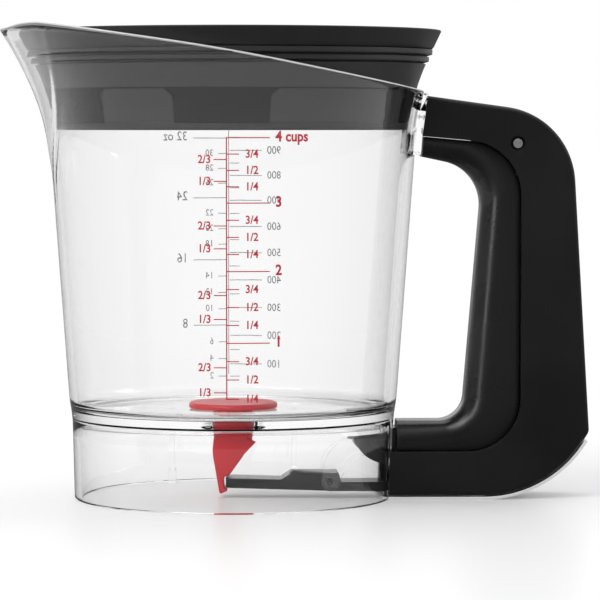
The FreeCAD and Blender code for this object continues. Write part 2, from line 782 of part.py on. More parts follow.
def make_return_spring():
    """Torsion spring hidden round the pivot pin: close turns drawn as ribs, and two straight legs."""
    body = new_body("return_spring")
    ribs = []
    for turn in range(SPRING_TURNS):
        ribs.append(("spring_radius + spring_wire", f"{turn} * spring_pitch + 0.15"))
        ribs.append(("spring_radius + spring_wire", f"({turn} + 1) * spring_pitch - 0.15"))
        ribs.append(("spring_radius", f"({turn} + 1) * spring_pitch"))
    inner = [
        ("spring_radius - spring_wire", f"{SPRING_TURNS} * spring_pitch"),
        ("spring_radius - spring_wire", "0"),
        ("spring_radius", "0"),
    ]
    outline_turned(body, "Revolution", "turns", ribs + inner)
    moving = plane_sketch(body, "trigger_leg_circle", "XZ_Plane")
    draw_circle(moving, "spring_radius", "spring_wire", "spring_wire - 0.01")
    extrude(body, "Pad", "trigger_leg", moving, "spring_leg", backwards=True)
    fixed = plane_sketch(body, "fixed_leg_circle", "YZ_Plane")
    last_turn = f"{SPRING_TURNS} * spring_pitch - spring_wire"
    draw_circle(fixed, "-spring_radius", last_turn, "spring_wire - 0.01")
    extrude(body, "Pad", "fixed_leg", fixed, "spring_short_leg", backwards=True)
    body.Placement = FreeCAD.Placement(Vector(), FreeCAD.Rotation(Vector(1, 0, 0), -90))
    body.setExpression(".Placement.Base.x", bound("pivot_x"))
    first_turn = f"-ear_half - 0.5 - {SPRING_TURNS} * spring_pitch"
    body.setExpression(".Placement.Base.y", bound(first_turn))
    body.setExpression(".Placement.Base.z", bound("pivot_z"))
    return body


jug_body = make_jug_body()
handle_frame = make_handle_frame()
handle_shell_front = make_handle_shell("handle_shell_front", False)
handle_shell_back = make_handle_shell("handle_shell_back", True)
trigger_core = make_trigger_core()
trigger_grip = make_trigger_grip()
rocker_arm = make_rocker()
stopper = make_stopper()
strainer_bowl = make_strainer_bowl()
strainer_screen = make_strainer_screen()
strainer_rim_grip = make_strainer_rim_grip()
strainer_seal = make_strainer_seal()
pivot_pin = make_pin("pivot_pin", "pivot_x", "pivot_z", "pivot_radius", "pivot_half")
axle_half = "(bracket_inner + bracket_thickness)"
rocker_axle = make_pin("rocker_axle", "axle_x", "axle_z", "axle_radius", axle_half)
return_spring = make_return_spring()

NODES = [
    jug_body, handle_frame, handle_shell_front, handle_shell_back, pivot_pin, return_spring,
    trigger_core, trigger_grip, rocker_arm, rocker_axle, stopper,
    strainer_bowl, strainer_screen, strainer_rim_grip, strainer_seal,
]

doc.recompute()
for item in doc.Objects:
    if "Invalid" in item.State or "Error" in item.State:
        raise RuntimeError(f"{item.Label} failed: {item.State}")
for node in NODES:
    if node.Shape.isNull() or not node.Shape.isValid():
        raise RuntimeError(f"{node.Label} has no valid shape")

os.makedirs("parts", exist_ok=True)
for node in NODES:
    node.Shape.exportStep(f"parts/{node.Label}.step")
    box = node.Shape.BoundBox
    print(
        f"{node.Label:20s} solids {len(node.Shape.Solids)} volume {node.Shape.Volume:10.1f}"
        f" x {box.XMin:7.2f} {box.XMax:7.2f} y {box.YMin:7.2f} {box.YMax:7.2f}"
        f" z {box.ZMin:7.2f} {box.ZMax:7.2f}"
    )
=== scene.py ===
import math

import bmesh
import bpy
import numpy as np
from mathutils import Matrix, Vector


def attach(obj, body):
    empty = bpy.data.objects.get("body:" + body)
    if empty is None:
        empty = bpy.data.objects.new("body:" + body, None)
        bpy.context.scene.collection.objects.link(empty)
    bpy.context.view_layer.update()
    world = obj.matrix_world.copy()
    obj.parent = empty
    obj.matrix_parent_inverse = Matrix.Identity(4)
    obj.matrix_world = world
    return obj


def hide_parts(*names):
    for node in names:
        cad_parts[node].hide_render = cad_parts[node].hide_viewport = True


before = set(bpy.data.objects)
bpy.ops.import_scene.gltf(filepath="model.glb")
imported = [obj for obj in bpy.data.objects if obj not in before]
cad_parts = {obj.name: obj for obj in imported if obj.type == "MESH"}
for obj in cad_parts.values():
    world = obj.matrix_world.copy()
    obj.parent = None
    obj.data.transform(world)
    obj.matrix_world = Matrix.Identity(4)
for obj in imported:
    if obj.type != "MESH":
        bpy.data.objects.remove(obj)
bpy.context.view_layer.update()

scene = bpy.context.scene
scene.view_settings.view_transform = "Standard"

MM = 0.001
FULL_TURN = 2 * math.pi
MIDDLE = (0.02, 0.0, 0.08)
HANDLE_MIDDLE = (0.08, 0.0, 0.08)


def aim(thing, place, target):
    thing.location = place
    thing.rotation_mode = "QUATERNION"
    thing.rotation_quaternion = (Vector(target) - Vector(place)).to_track_quat("-Z", "Y")


def make_camera():
    lens = bpy.data.cameras.new("camera")
    lens.sensor_width = 36.0
    lens.lens = 195.9
    lens.clip_start = 0.05
    lens.clip_end = 100.0
    camera = bpy.data.objects.new("camera", lens)
    scene.collection.objects.link(camera)
    aim(camera, (0.0, -1.125, 0.130), (0.0231, 0.0, 0.0679))
    scene.camera = camera


def make_softbox(name, place, target, width, height, watts):
    lamp = bpy.data.lights.new(name, "AREA")
    lamp.shape = "RECTANGLE"
    lamp.size = width
    lamp.size_y = height
    lamp.energy = watts
    box = bpy.data.objects.new(name, lamp)
    scene.collection.objects.link(box)
    aim(box, place, target)
    return box


def link(tree, source, target):
    tree.links.new(source, target)


def maths(tree, operation, a, b, clamp=False):
    """A Math node on two values, each a number or a socket; returns its result socket."""
    node = tree.nodes.new("ShaderNodeMath")
    node.operation = operation
    node.use_clamp = clamp
    for socket, given in zip(node.inputs, (a, b)):
        if isinstance(given, (int, float)):
            socket.default_value = given
        else:
            link(tree, given, socket)
    return node.outputs[0]


def spread(tree, value, low, high, out_low=0.0, out_high=1.0):
    """Map Range of a value socket, eased at its ends."""
    node = tree.nodes.new("ShaderNodeMapRange")
    node.interpolation_type = "SMOOTHSTEP"
    for socket, number in zip(node.inputs[1:5], (low, high, out_low, out_high)):
        socket.default_value = number
    link(tree, value, node.inputs[0])
    return node.outputs[0]


def blend_colours(tree, factor, first, second):
    """Mix node between two colours, each a tuple or a socket, by a value socket."""
    node = tree.nodes.new("ShaderNodeMix")
    node.data_type = "RGBA"
    link(tree, factor, node.inputs[0])
    for socket, given in zip((node.inputs[6], node.inputs[7]), (first, second)):
        if isinstance(given, tuple):
            socket.default_value = (*given, 1.0)
        else:
            link(tree, given, socket)
    return node.outputs[2]


def seen_rays(tree):
    """Light Path outputs, and a value of 1 for rays that meet the white background."""
    rays = tree.nodes.new("ShaderNodeLightPath").outputs
    seen = maths(tree, "MAXIMUM", rays["Is Camera Ray"], rays["Is Transmission Ray"])
    return rays, maths(tree, "MAXIMUM", seen, rays["Is Glossy Ray"])


def make_world():
    """Studio: white to the eye, darker to the sides through the plastic and to the front in gloss."""
    world = bpy.data.worlds.new("studio")
    world.use_nodes = True
    scene.world = world
    tree = world.node_tree
    tree.nodes.clear()
    rays, seen = seen_rays(tree)
    place = tree.nodes.new("ShaderNodeTexCoord")
    split = tree.nodes.new("ShaderNodeSeparateXYZ")
    link(tree, place.outputs["Generated"], split.inputs[0])
    above = spread(tree, split.outputs["Z"], 0.35, 0.8, 0.0, 0.35)
    mirrored = maths(tree, "ADD", spread(tree, split.outputs["Y"], 0.55, 1.0, 0.1, 1.0), above)
    through = spread(tree, split.outputs["Y"], 0.0, 0.98, 0.34, 1.04)
    behind = blend_colours(tree, rays["Is Transmission Ray"], mirrored, through)
    gloss = blend_colours(tree, rays["Is Camera Ray"], behind, (1.0, 1.0, 1.0))
    fill = tree.nodes.new("ShaderNodeBackground")
    fill.inputs["Color"].default_value = (1.0, 1.0, 1.0, 1.0)
    fill.inputs["Strength"].default_value = 0.85
    white = tree.nodes.new("ShaderNodeBackground")
    link(tree, gloss, white.inputs["Color"])
    mix = tree.nodes.new("ShaderNodeMixShader")
    out = tree.nodes.new("ShaderNodeOutputWorld")
    link(tree, seen, mix.inputs[0])
    link(tree, fill.outputs[0], mix.inputs[1])
    link(tree, white.outputs[0], mix.inputs[2])
    link(tree, mix.outputs[0], out.inputs["Surface"])


def make_floor():
    """Pale floor that keeps the shadow near the jug and turns plain white farther out."""
    size = 12.0
    mesh = bpy.data.meshes.new("floor")
    corners = [(-size, -size, 0.0), (size, -size, 0.0), (size, size, 0.0), (-size, size, 0.0)]
    mesh.from_pydata(corners, [], [(0, 1, 2, 3)])
    floor = bpy.data.objects.new("floor", mesh)
    scene.collection.objects.link(floor)
    paint = bpy.data.materials.new("floor_white")
    paint.use_nodes = True
    tree = paint.node_tree
    matt = tree.nodes["Principled BSDF"]
    matt.inputs["Base Color"].default_value = (0.67, 0.67, 0.67, 1.0)
    matt.inputs["Roughness"].default_value = 0.35
    matt.inputs["Specular IOR Level"].default_value = 0.1
    rays, seen = seen_rays(tree)
    place = tree.nodes.new("ShaderNodeTexCoord")
    length = tree.nodes.new("ShaderNodeVectorMath")
    length.operation = "LENGTH"
    link(tree, place.outputs["Object"], length.inputs[0])
    distance = length.outputs["Value"]
    glow = tree.nodes.new("ShaderNodeEmission")
    glow.inputs["Strength"].default_value = 0.1
    add = tree.nodes.new("ShaderNodeAddShader")
    link(tree, matt.outputs[0], add.inputs[0])
    link(tree, glow.outputs[0], add.inputs[1])
    white = tree.nodes.new("ShaderNodeEmission")
    white.inputs["Strength"].default_value = 1.02
    near_or_far = tree.nodes.new("ShaderNodeMixShader")
    far = spread(tree, distance, 0.16, 0.8)
    link(tree, maths(tree, "MULTIPLY", far, seen), near_or_far.inputs[0])
    link(tree, add.outputs[0], near_or_far.inputs[1])
    link(tree, white.outputs[0], near_or_far.inputs[2])
    mirrored = tree.nodes.new("ShaderNodeEmission")
    link(tree, spread(tree, distance, 0.12, 0.6, 0.12, 0.4), mirrored.inputs["Strength"])
    mix = tree.nodes.new("ShaderNodeMixShader")
    only_gloss = maths(tree, "SUBTRACT", rays["Is Glossy Ray"], rays["Is Transmission Ray"], clamp=True)
    link(tree, only_gloss, mix.inputs[0])
    link(tree, near_or_far.outputs[0], mix.inputs[1])
    link(tree, mirrored.outputs[0], mix.inputs[2])
    link(tree, mix.outputs[0], tree.nodes["Material Output"].inputs["Surface"])
    mesh.materials.append(paint)


def moulded_grain():
    """Node group: fine height of a moulded surface, and a broad slow tone."""
    group = bpy.data.node_groups.new("moulded_grain", "ShaderNodeTree")
    face = group.interface
    for name, number in (("Grain Scale", 3000.0), ("Tone Scale", 30.0)):
        socket = face.new_socket(name, in_out="INPUT", socket_type="NodeSocketFloat")
        socket.default_value = number
    for name in ("Height", "Tone"):
        face.new_socket(name, in_out="OUTPUT", socket_type="NodeSocketFloat")
    entry = group.nodes.new("NodeGroupInput")
    leave = group.nodes.new("NodeGroupOutput")
    place = group.nodes.new("ShaderNodeTexCoord")
    for name, detail, output in (("Grain Scale", 2.0, "Height"), ("Tone Scale", 3.0, "Tone")):
        noise = group.nodes.new("ShaderNodeTexNoise")
        noise.inputs["Detail"].default_value = detail
        link(group, place.outputs["Object"], noise.inputs["Vector"])
        link(group, entry.outputs[name], noise.inputs["Scale"])
        link(group, noise.outputs["Fac"], leave.inputs[output])
    return group


GRAIN = moulded_grain()


def new_material(name):
    paint = bpy.data.materials.new(name)
    paint.use_nodes = True
    return paint, paint.node_tree, paint.node_tree.nodes["Principled BSDF"]


def add_grain(tree, grain_scale, tone_scale):
    node = tree.nodes.new("ShaderNodeGroup")
    node.node_tree = GRAIN
    node.inputs["Grain Scale"].default_value = grain_scale
    node.inputs["Tone Scale"].default_value = tone_scale
    return node


def add_bump(tree, shader, height, strength, distance):
    bump = tree.nodes.new("ShaderNodeBump")
    bump.inputs["Strength"].default_value = strength
    bump.inputs["Distance"].default_value = distance
    link(tree, height, bump.inputs["Height"])
    link(tree, bump.outputs[0], shader.inputs["Normal"])
    return bump


def moulded_plastic(name, dark, light, smooth, rough, depth, gloss=0.5):
    """Opaque moulded plastic or rubber: slow tone change, fine grain in its bump, softened edges."""
    paint, tree, shader = new_material(name)
    grain = add_grain(tree, 3500.0, 35.0)
    tone = spread(tree, grain.outputs["Tone"], 0.3, 0.7)
    link(tree, blend_colours(tree, tone, dark, light), shader.inputs["Base Color"])
    link(tree, spread(tree, grain.outputs["Tone"], 0.3, 0.7, smooth, rough), shader.inputs["Roughness"])
    shader.inputs["Specular IOR Level"].default_value = gloss
    bump = add_bump(tree, shader, grain.outputs["Height"], depth, 0.00005)
    edge = tree.nodes.new("ShaderNodeBevel")
    edge.samples = 4
    edge.inputs["Radius"].default_value = 0.0004
    link(tree, edge.outputs[0], bump.inputs["Normal"])
    return paint


def clear_plastic(name, clear, edge, clearness=1.0):
    """Clear moulded plastic: colour painted darker where it is seen along the wall, a painted shade for
    its dark edges; open to lamplight.
    """
    paint, tree, shader = new_material(name)
    shader.inputs["Transmission Weight"].default_value = clearness
    shader.inputs["IOR"].default_value = 1.49
    shader.inputs["Specular IOR Level"].default_value = 0.3
    grain = add_grain(tree, 120.0, 18.0)
    link(tree, spread(tree, grain.outputs["Tone"], 0.3, 0.7, 0.0, 0.03), shader.inputs["Roughness"])
    # Painted shade: toward grazing angles the colour turns from the clear colour to the edge colour,
    # standing in for the dark lines along the walls' edges.
    weight = tree.nodes.new("ShaderNodeLayerWeight")
    weight.inputs["Blend"].default_value = 0.5
    steep = maths(tree, "POWER", weight.outputs["Facing"], 4.0)
    gentle = maths(tree, "MULTIPLY", weight.outputs["Facing"], 0.27)
    grazing_shade = maths(tree, "ADD", gentle, maths(tree, "MULTIPLY", steep, 0.73))
    link(tree, blend_colours(tree, grazing_shade, clear, edge), shader.inputs["Base Color"])
    add_bump(tree, shader, grain.outputs["Height"], 0.06, 0.0002)
    path = tree.nodes.new("ShaderNodeLightPath")
    through = tree.nodes.new("ShaderNodeBsdfTransparent")
    through.inputs["Color"].default_value = (0.93, 0.93, 0.93, 1.0)
    mix = tree.nodes.new("ShaderNodeMixShader")
    link(tree, path.outputs["Is Shadow Ray"], mix.inputs[0])
    link(tree, shader.outputs[0], mix.inputs[1])
    link(tree, through.outputs[0], mix.inputs[2])
    link(tree, mix.outputs[0], tree.nodes["Material Output"].inputs["Surface"])
    return paint


def brushed_steel(name):
    """Steel with a fine grain and a tone that changes over a few millimetres."""
    paint, tree, shader = new_material(name)
    shader.inputs["Metallic"].default_value = 1.0
    grain = add_grain(tree, 5000.0, 400.0)
    tone = spread(tree, grain.outputs["Tone"], 0.3, 0.7)
    colour = blend_colours(tree, tone, (0.62, 0.62, 0.61), (0.78, 0.78, 0.77))
    link(tree, colour, shader.inputs["Base Color"])
    link(tree, spread(tree, grain.outputs["Tone"], 0.3, 0.7, 0.18, 0.34), shader.inputs["Roughness"])
    add_bump(tree, shader, grain.outputs["Height"], 0.2, 0.00003)
    return paint


# CLEAR's second colour is the painted shade taken on at grazing angles.
CLEAR = clear_plastic("clear_styrene", (1.0, 1.0, 1.0), (0.60, 0.60, 0.61))
# A whiter, less clear copy of the clear plastic: painted highlight for the bright bands along the rim's
# top and the handle sole's sides.
EDGE_HIGHLIGHT_CLEAR = clear_plastic("clear_edge_painted_highlight", (0.9, 0.9, 0.9), (0.7, 0.7, 0.7), 0.35)
SHELL_BLACK = moulded_plastic(
    "handle_shell_black", (0.004, 0.004, 0.0045), (0.007, 0.007, 0.0075), 0.42, 0.52, 0.25, 0.4
)
TRIGGER_BLACK = moulded_plastic(
    "trigger_black", (0.004, 0.004, 0.0045), (0.006, 0.006, 0.0065), 0.24, 0.32, 0.12
)
STRAINER_BLACK = moulded_plastic(
    "strainer_black", (0.022, 0.022, 0.023), (0.028, 0.028, 0.029), 0.40, 0.50, 0.2, 0.4
)
# A far darker copy of the strainer's black for the skirt's pads: painted shade, so the pads read dark and
# the recessed panels between them read lit.
PAD_SHADE_BLACK = moulded_plastic(
    "strainer_pad_painted_shade", (0.002, 0.002, 0.002), (0.004, 0.004, 0.004), 0.45, 0.55, 0.2, 0.1
)
RIM_RUBBER = moulded_plastic(
    "rim_rubber", (0.009, 0.009, 0.0095), (0.013, 0.013, 0.0135), 0.50, 0.62, 0.35
)
SILICONE = moulded_plastic("red_silicone", (0.62, 0.006, 0.016), (0.72, 0.012, 0.026), 0.34, 0.46, 0.2)
STEEL = brushed_steel("brushed_steel")
RED_PRINT = moulded_plastic("red_print", (0.50, 0.012, 0.03), (0.56, 0.02, 0.04), 0.4, 0.55, 0.1)
GREY_PRINT = moulded_plastic("grey_print", (0.36, 0.37, 0.38), (0.42, 0.43, 0.44), 0.4, 0.55, 0.1)


def rounded(corners, steps=6):
    """Points of a closed outline whose corners may carry a third entry, the radius of a round."""
    points = []
    count = len(corners)
    for index, corner in enumerate(corners):
        here = Vector(corner[:2])
        if len(corner) < 3:
            points.append(tuple(here))
            continue
        to_last = (Vector(corners[index - 1][:2]) - here).normalized()
        to_next = (Vector(corners[(index + 1) % count][:2]) - here).normalized()
        half = to_last.angle(to_next) / 2
        reach = corner[2] / math.tan(half)
        centre = here + (to_last + to_next).normalized() * (corner[2] / math.sin(half))
        start, end = here + to_last * reach - centre, here + to_next * reach - centre
        turn = start.angle_signed(end)
        for step in range(steps + 1):
            arm = start.copy()
            arm.rotate(Matrix.Rotation(-turn * step / steps, 2))
            points.append(tuple(centre + arm))
    return points


def new_piece(name, mesh, paint):
    thing = bpy.data.objects.new(name, mesh)
    scene.collection.objects.link(thing)
    mesh.materials.clear()
    mesh.materials.append(paint)
    return thing


def finish_mesh(grown, name, angle=35.0):
    """Turn a bmesh in millimetres into a mesh in metres: doubles merged, faces outwards, smooth."""
    bmesh.ops.remove_doubles(grown, verts=grown.verts, dist=0.0005)
    bmesh.ops.recalc_face_normals(grown, faces=grown.faces)
    bmesh.ops.scale(grown, vec=(MM, MM, MM), verts=grown.verts)
    mesh = bpy.data.meshes.new(name)
    grown.to_mesh(mesh)
    grown.free()
    mesh.shade_smooth()
    mesh.set_sharp_from_angle(angle=math.radians(angle))
    return mesh


def skin_over(rings, joined=True):
    """Bmesh of a skin over closed rings of points; last ring joined to the first, or ends capped."""
    grown = bmesh.new()
    made = [[grown.verts.new(point) for point in ring] for ring in rings]
    around = len(made[0])
    for i in range(len(made) if joined else len(made) - 1):
        first, second = made[i], made[(i + 1) % len(made)]
        for j in range(around):
            k = (j + 1) % around
            grown.faces.new((first[j], first[k], second[k], second[j]))
    if not joined:
        grown.faces.new(made[0])
        grown.faces.new(made[-1])
    return grown


def lathe(profile, segments, depth=None):
    """Bmesh of a closed profile (radius, z) turned about Z; depth(angle, r, z) draws a point inwards."""
    rings = []
    for radius, height in profile:
        ring = []
        for step in range(segments):
            angle = FULL_TURN * step / segments
            r = max(radius - (depth(angle, radius, height) if depth else 0.0), 0.0)
            ring.append((r * math.cos(angle), r * math.sin(angle), height))
        rings.append(ring)
    return skin_over(rings)


def prism(outline, low_y, high_y):
    """Bmesh of an outline (x, z) drawn out along Y."""
    grown = bmesh.new()
    near = [grown.verts.new((x, low_y, z)) for x, z in outline]
    far = [grown.verts.new((x, high_y, z)) for x, z in outline]
    grown.faces.new(near)
    grown.faces.new(far[::-1])
    for i in range(len(outline)):
        j = (i + 1) % len(outline)
        grown.faces.new((near[i], far[i], far[j], near[j]))
    return grown


def cutter(grown):
    return new_piece("cutter", finish_mesh(grown, "cutter"), CLEAR)


def apply_modifiers(thing):
    """Replace an object's mesh by its evaluated one and drop the modifiers."""
    graph = bpy.context.evaluated_depsgraph_get()
    mesh = bpy.data.meshes.new_from_object(thing.evaluated_get(graph))
    thing.modifiers.clear()
    thing.data = mesh


def cut_or_join(thing, tool, operation):
    """Exact boolean with a helper mesh, which is then removed."""
    step = thing.modifiers.new(operation, "BOOLEAN")
    step.operation = operation
    step.solver = "EXACT"
    step.object = tool
    apply_modifiers(thing)
    bpy.data.objects.remove(tool)


def dressed_copy(node, paint, angle=32.0, shrink=0.0, flat=False):
    """A CAD node's own shape as one clean smooth mesh, drawn in by a hair where it lies on others."""
    grown = bmesh.new()
    grown.from_mesh(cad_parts[node].data)
    bmesh.ops.remove_doubles(grown, verts=grown.verts, dist=0.000002)
    bmesh.ops.dissolve_degenerate(grown, edges=grown.edges, dist=0.000001)
    grown.normal_update()
    for vert in grown.verts:
        vert.co -= vert.normal * shrink
    mesh = bpy.data.meshes.new(node + "_dressed")
    grown.to_mesh(mesh)
    grown.free()
    mesh.shade_smooth()
    mesh.set_sharp_from_angle(angle=math.radians(angle))
    thing = new_piece(node + "_dressed", mesh, paint)
    if flat:
        shade = thing.modifiers.new("flat_faces_lead", "WEIGHTED_NORMAL")
        shade.keep_sharp = True
        shade.weight = 100
        apply_modifiers(thing)
    return thing


def place_piece(thing, body, slot, *nodes):
    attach(thing, body)
    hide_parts(*nodes)


# The jug's form, in millimetres

OUTSIDE = rounded([
    (0, -20), (54.7, 0), (55.4, 28, 40), (56.4, 34, 40), (64.0, 138.3, 75), (76.8, 165), (0, 180),
])
OUTSIDE = [point for point in OUTSIDE if point[0] > 50]
INSIDE = rounded([(0, 0), (53.55, 30.8), (61.5, 138.3, 77.4), (74.9, 166), (0, 180)])
INSIDE = [point for point in INSIDE if point[0] > 50]
UNDER_FLOOR = 28.0
FLOOR_TOP = 30.8
FLOOR_ROUND = 4.0
DRAIN = 7.6
SPOUT_START = 105.0
SPOUT_RINGS = 108.0
SPOUT_LEVELS = (119.0, 141.0, 165.0)
SPOUT_POINT = (62.9, 70.6, 84.8)
SPOUT_BACK = (59.6, 59.2, 63.4)
SPOUT_HALF = (15.0, 27.0, 41.2)
SPOUT_ROUND = 16.0
SPOUT_WALL = 2.5
SPOUT_NARROWER = 1.2
SPOUT_BLEND = 3.0
LEAST_BLEND = 0.1
RIM_ROUND = 0.5


def wall_radius(profile, height):
    heights = [point[1] for point in profile]
    return float(np.interp(height, heights, [point[0] for point in profile]))


RIM = rounded([
    (-95, 157.9), (-69, 163.2, 40), (-2, 153.2, 900), (80, 137.2), (80, 200), (-95, 200),
], steps=16)
RIM = sorted(point for point in RIM if point[1] < 190)


def rim_height(x):
    return float(np.interp(x, [point[0] for point in RIM], [point[1] for point in RIM]))


def at_level(height, values):
    """Parabola through a value at each of the spout's three levels."""
    low, mid, top = SPOUT_LEVELS
    at_low, at_mid, at_top = values
    return (
        at_low * (height - mid) * (height - top) / ((low - mid) * (low - top))
        + at_mid * (height - low) * (height - top) / ((mid - low) * (mid - top))
        + at_top * (height - low) * (height - mid) / ((top - low) * (top - mid))
    )


def spout_radius(angle, height, inset, narrower):
    """Distance from the axis to the spout's wedge with its round point; angle is from -X."""
    point = at_level(height, SPOUT_POINT) - inset
    back = at_level(height, SPOUT_BACK) - inset
    half = max(at_level(height, SPOUT_HALF) - narrower, 1.0)
    lean = math.atan2(point - back, half)
    centre = point - SPOUT_ROUND / math.cos(lean)
    turn = abs(angle)
    if turn < math.atan2(SPOUT_ROUND * math.sin(lean), centre + SPOUT_ROUND * math.cos(lean)):
        return centre * math.cos(turn) + math.sqrt(SPOUT_ROUND**2 - (centre * math.sin(turn)) ** 2)
    corner = math.atan2(half, back)
    if turn > corner:
        return math.hypot(half, back) - (turn - corner) * 40.0
    return point * math.cos(lean) / math.cos(turn - lean)


def soft_larger(a, b, reach):
    """The larger of two lengths, with the corner between them rounded."""
    near = max(reach - abs(a - b), 0.0) / reach
    return max(a, b) + near * near * reach / 4


def jug_radius(angle, height, inner):
    """Radius of the jug's wall at an angle from +X, spout included."""
    base = wall_radius(INSIDE if inner else OUTSIDE, height)
    if height < SPOUT_START:
        return base
    from_spout = math.remainder(angle - math.pi, FULL_TURN)
    inset, narrower = (SPOUT_WALL, SPOUT_NARROWER) if inner else (0.0, 0.0)
    spout = spout_radius(from_spout, height, inset, narrower)
    grown = min((height - SPOUT_START) / (SPOUT_LEVELS[0] - SPOUT_START), 1.0)
    return soft_larger(base, spout, LEAST_BLEND + (SPOUT_BLEND - LEAST_BLEND) * grown)


def rim_at(angle, inner):
    """Height at which the wall meets the slanted rim at this angle."""
    height = 150.0
    for _ in range(12):
        height = rim_height(jug_radius(angle, height, inner) * math.cos(angle))
    return height


def jug_column(angle):
    """Closed section of the jug at an angle: up the outside, over the rim, down the inside, under."""
    column = [(54.3, 0.0), (54.72, 0.4)]
    column += [(wall_radius(OUTSIDE, z), z) for z in (6, 14, 22, *range(26, 36), 37)]
    column += [(wall_radius(OUTSIDE, z), z) for z in np.linspace(44, SPOUT_RINGS, 9)]
    outer_top = rim_at(angle, False)
    inner_top = rim_at(angle, True)
    for share in np.linspace(0, 1, 26)[1:]:
        z = SPOUT_RINGS + (outer_top - RIM_ROUND - SPOUT_RINGS) * share
        column.append((jug_radius(angle, z, False), z))
    outer, inner = jug_radius(angle, outer_top, False), jug_radius(angle, inner_top, True)
    column += [(outer - 0.15, outer_top - 0.15), (outer - RIM_ROUND, outer_top)]
    column += [(inner + RIM_ROUND, inner_top), (inner + 0.15, inner_top - 0.15)]
    for share in np.linspace(1, 0, 26)[:-1]:
        z = SPOUT_RINGS + (inner_top - RIM_ROUND - SPOUT_RINGS) * share
        column.append((jug_radius(angle, z, True), z))
    column += [(wall_radius(INSIDE, z), z) for z in np.linspace(SPOUT_RINGS, 44, 9)]
    corner_z = FLOOR_TOP + FLOOR_ROUND
    corner_x = wall_radius(INSIDE, corner_z) - FLOOR_ROUND
    column += [(wall_radius(INSIDE, z), z) for z in (39, 36.5, corner_z)]
    for step in range(1, 9):
        turn = math.pi / 2 * step / 8
        column.append((corner_x + FLOOR_ROUND * math.cos(turn), corner_z - FLOOR_ROUND * math.sin(turn)))
    column += [(r, FLOOR_TOP) for r in (40, 26, 14, DRAIN + 0.4)]
    column += [(DRAIN + 0.1, FLOOR_TOP - 0.2), (DRAIN, FLOOR_TOP - 0.6), (DRAIN, UNDER_FLOOR + 0.4)]
    column += [(r, UNDER_FLOOR) for r in (DRAIN + 0.2, 14, 26, 40, 50.9)]
    column += [(52.4, 27.5), (52.95, 26), (52.8, 20), (52.5, 8), (52.35, 0.4), (52.7, 0.0)]
    return column


def make_jug():
    """Clear jug with its spout, floor, drain, skirt, posts and rocker brackets in one skin."""
    around = 288
    columns = [jug_column(FULL_TURN * step / around) for step in range(around)]
    rings = []
    for level in range(len(columns[0])):
        ring = []
        for step, column in enumerate(columns):
            angle = FULL_TURN * step / around
            r, z = column[level]
            ring.append((r * math.cos(angle), r * math.sin(angle), z))
        rings.append(ring)
    jug = new_piece("jug", finish_mesh(skin_over(rings), "jug"), CLEAR)
    slot = rounded([(-8, -1), (8, -1), (8, 26, 4), (-8, 26, 4)])
    grown = prism(slot, -75.0, -40.0)
    bmesh.ops.rotate(grown, verts=grown.verts, matrix=Matrix.Rotation(math.pi / 2, 3, "Z"))
    cut_or_join(jug, cutter(grown), "DIFFERENCE")
    footed_post = [
        (-22.3, 5.2), (-19.7, 5.2), (-19.7, 9.4), (-20.2, 9.4),
        (-20.2, 28.5), (-21.8, 28.5), (-21.8, 9.4), (-22.3, 9.4),
    ]
    post = [(20.2, 10.4), (21.8, 10.4), (21.8, 28.5), (20.2, 28.5)]
    bracket = rounded([
        (29.8, 2.9, 3), (36.2, 2.9, 3), (37.5, 12.2, 12), (53.2, 19.2),
        (53.2, 28.4), (41.5, 28.4), (31, 14.2, 20),
    ])
    for outline, low, high in (
        (footed_post, -5, 5), (post, -5, 5), (bracket, 8.4, 10.4), (bracket, -10.4, -8.4),
    ):
        cut_or_join(jug, cutter(prism(outline, low, high)), "UNION")
    jug.data.shade_smooth()
    jug.data.set_sharp_from_angle(angle=math.radians(35))
    # The rim's top gets the whiter copy: a painted highlight band.
    jug.data.materials.append(EDGE_HIGHLIGHT_CLEAR)
    for face in jug.data.polygons:
        if face.center.z / MM > rim_height(face.center.x / MM) - 0.55:
            face.material_index = 1
    place_piece(jug, "jug", "clear_plastic", "jug_body")


# The strainer's form: panels in degrees round its skirt, the rest in millimetres
SKIRT_PANELS = [(11, 66), (114, 169), (198, 224.5), (315.5, 342)]
PANEL_DEPTH = 0.9
PANEL_TOP = 141.2
PANEL_ROUND = 5.0
STRAINER_GAP = 2.9
STRAINER_WALL = 2.2
SKIRT_LOW = 129.0
BOWL_TOP = 154.0
BAND_TOP = 160.6
GROOVES = ((149.0, 151.4), (151.4, 153.9))
GROOVE_DEPTH = 0.8


def strainer_radius(height):
    return wall_radius(OUTSIDE, height) - STRAINER_GAP


def panel_depth(angle, radius, height):
    """How far a point of the skirt's outer face is drawn in, by the panels with rounded tops."""
    if height > 143 or radius < strainer_radius(height) - 0.3:
        return 0.0
    degrees = (math.degrees(angle) + 90.0) % 360.0
    for start, end in SKIRT_PANELS:
        if start < degrees < end:
            edge = min(degrees - start, end - degrees) * 1.06
            top = PANEL_TOP - drop_near_side(edge)
            side = min(edge / 0.7, 1.0)
            upper = min(max((top - height) / 0.9, 0.0), 1.0)
            return PANEL_DEPTH * side * side * (3 - 2 * side) * upper * upper * (3 - 2 * upper)
    return 0.0


def drop_near_side(edge):
    """Drop of a panel's top near its side edge, a quarter round."""
    if edge >= PANEL_ROUND:
        return 0.0
    return PANEL_ROUND - math.sqrt(PANEL_ROUND**2 - (PANEL_ROUND - edge) ** 2)


